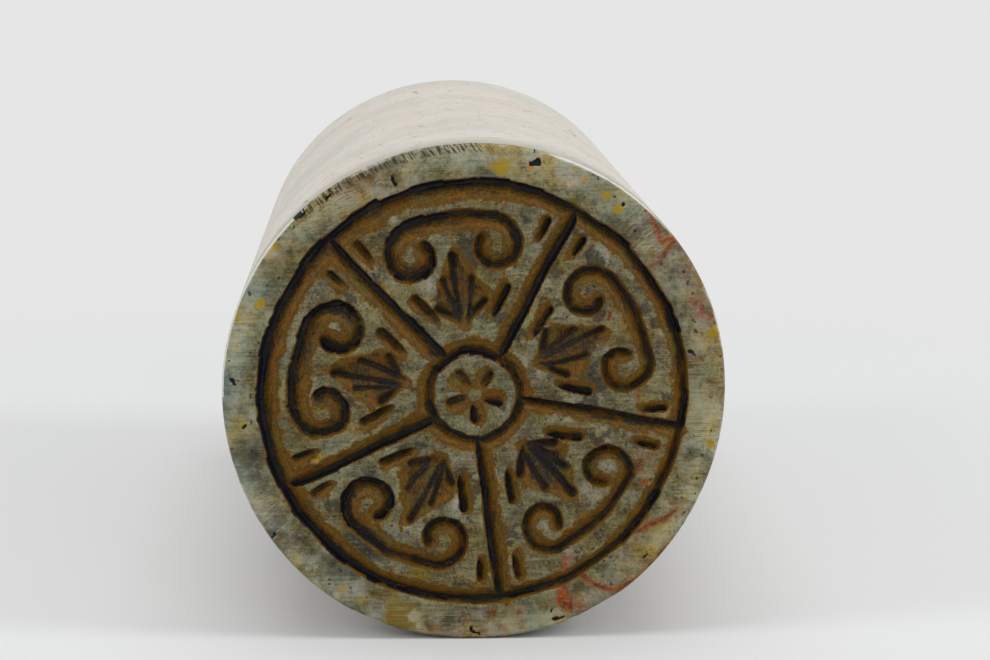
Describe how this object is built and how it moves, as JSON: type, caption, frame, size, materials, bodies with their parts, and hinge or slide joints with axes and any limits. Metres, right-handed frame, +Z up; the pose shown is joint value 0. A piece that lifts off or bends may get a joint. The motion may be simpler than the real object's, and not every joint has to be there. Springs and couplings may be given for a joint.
{
  "type": "seal stamp",
  "caption": "Round carved stone seal stamp lying on its side, with a flat printing face cut with cloud scrolls round a boss.",
  "frame": {"origin": "bottom centre of the stone as it lies on its side: on the ground flat along the underside, midway between the two ends", "axes": "+Z up; the stone's axis runs along Y, with the carved printing face towards -Y and the far end towards +Y; +X is to the right as the carved face is looked at"},
  "size_m": [0.036, 0.08, 0.0359],
  "materials": {
    "soapstone": "satin",
    "dried_paste": "matte"
  },
  "bodies": {
    "root": {"carved_stone": "soapstone", "dried_paste_main_channels": "dried_paste", "dried_paste_cloud_1": "dried_paste", "dried_paste_cloud_2": "dried_paste", "dried_paste_cloud_3": "dried_paste", "dried_paste_cloud_4": "dried_paste", "dried_paste_cloud_5": "dried_paste", "dried_paste_bud_1": "dried_paste", "dried_paste_bud_2": "dried_paste", "dried_paste_bud_3": "dried_paste", "dried_paste_bud_4": "dried_paste", "dried_paste_bud_5": "dried_paste"}
  },
  "joints": []
}
